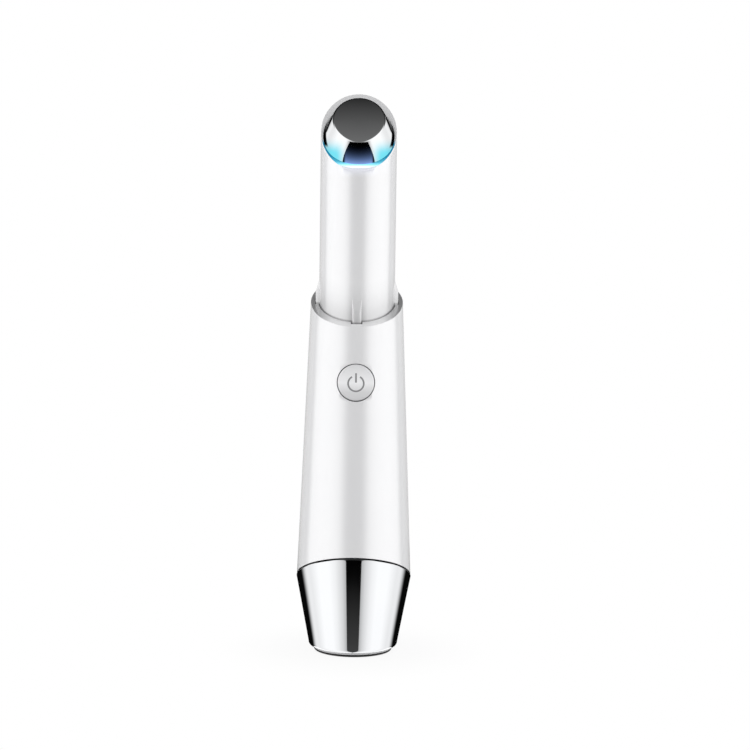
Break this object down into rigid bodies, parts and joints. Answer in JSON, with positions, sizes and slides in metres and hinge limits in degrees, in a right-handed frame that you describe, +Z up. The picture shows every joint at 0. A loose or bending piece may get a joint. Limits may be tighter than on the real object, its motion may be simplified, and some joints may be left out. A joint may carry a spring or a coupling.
{
  "type": "heated eye massager wand",
  "caption": "Slim cordless eye massager wand: slanted chrome heated head with a lit ring on a white neck, tapered white handle with a power button, chrome base and round foot.",
  "frame": {"origin": "centre of the foot plate's flat underside, on the axis of the handle", "axes": "+Z up along the wand from the foot to the head, -Y to the front where the button and the slanted head face, +X to the right seen from the front"},
  "size_m": [0.034, 0.0339, 0.1645],
  "materials": {
    "gloss_white": "gloss",
    "chrome_head": "polished",
    "chrome_base": "polished",
    "foot_silver": "satin",
    "light_ring": "translucent, frosted",
    "black_rubber": "matte",
    "button_grey": "satin",
    "frame_plastic": "matte",
    "board_green": "solder mask",
    "board_white": "solder mask",
    "lamp_lens": "clear",
    "chip_black": "moulded",
    "socket_white": "moulded",
    "switch_stem": "moulded",
    "heater": "film on aluminium",
    "sensor": "bead",
    "cell_wrap": "shrink wrap on a metal can",
    "foam": "closed-cell foam",
    "steel": "machined",
    "copper": "enamelled wire",
    "lead_jacket": "silicone jacket"
  },
  "bodies": {
    "handle": {"body_shell": "gloss_white", "neck_tube": "gloss_white", "massage_head": "chrome_head", "base_cover": "chrome_base", "foot_plate": "foot_silver", "light_ring": "light_ring", "base_gasket": "black_rubber", "head_seal": "black_rubber", "motor_sleeve": "black_rubber", "inner_frame": "frame_plastic", "motor_mount": "frame_plastic", "base_plug": "frame_plastic", "main_board": "board_green", "charge_board": "board_green", "lamp_board": "board_white", "lamp_1": "lamp_lens", "lamp_2": "lamp_lens", "lamp_3": "lamp_lens", "lamp_4": "lamp_lens", "lamp_5": "lamp_lens", "lamp_6": "lamp_lens", "control_chip": "chip_black", "charge_chip": "chip_black", "power_coil": "chip_black", "motor_end_cap": "chip_black", "socket_tongue": "chip_black", "switch_body": "chip_black", "head_socket": "socket_white", "cell_socket": "socket_white", "heater_plate": "heater", "heat_sensor": "sensor", "battery_cell": "cell_wrap", "cell_foam": "foam", "foam_strip": "foam", "motor_can": "steel", "socket_shell": "steel", "motor_magnet": "steel", "base_screw_1": "steel", "base_screw_2": "steel", "neck_screw_1": "steel", "neck_screw_2": "steel", "head_lead": "lead_jacket", "motor_lead": "lead_jacket", "cell_lead": "lead_jacket", "charge_lead": "lead_jacket"},
    "button": {"power_button": "button_grey"},
    "switch_stem": {"switch_plunger": "switch_stem"},
    "motor_rotor": {"motor_shaft": "steel", "motor_coil": "copper", "eccentric_weight": "steel"}
  },
  "joints": [
    {"name": "button_press", "type": "slide", "parent": "handle", "child": "button", "axis": [0, 1, 0], "range_m": [0, 0.0004], "stiffness_N_per_m": 1200},
    {"name": "switch_press", "type": "slide", "parent": "handle", "child": "switch_stem", "axis": [0, 1, 0], "range_m": [0, 0.0004]},
    {"name": "motor_spin", "type": "hinge", "parent": "handle", "child": "motor_rotor", "pos_m": [0, 0, 0.12], "axis": [0, 0, 1], "continuous": true}
  ],
  "couplings": [
    {"joint": "switch_press", "follows": "button_press", "ratio": 1}
  ]
}
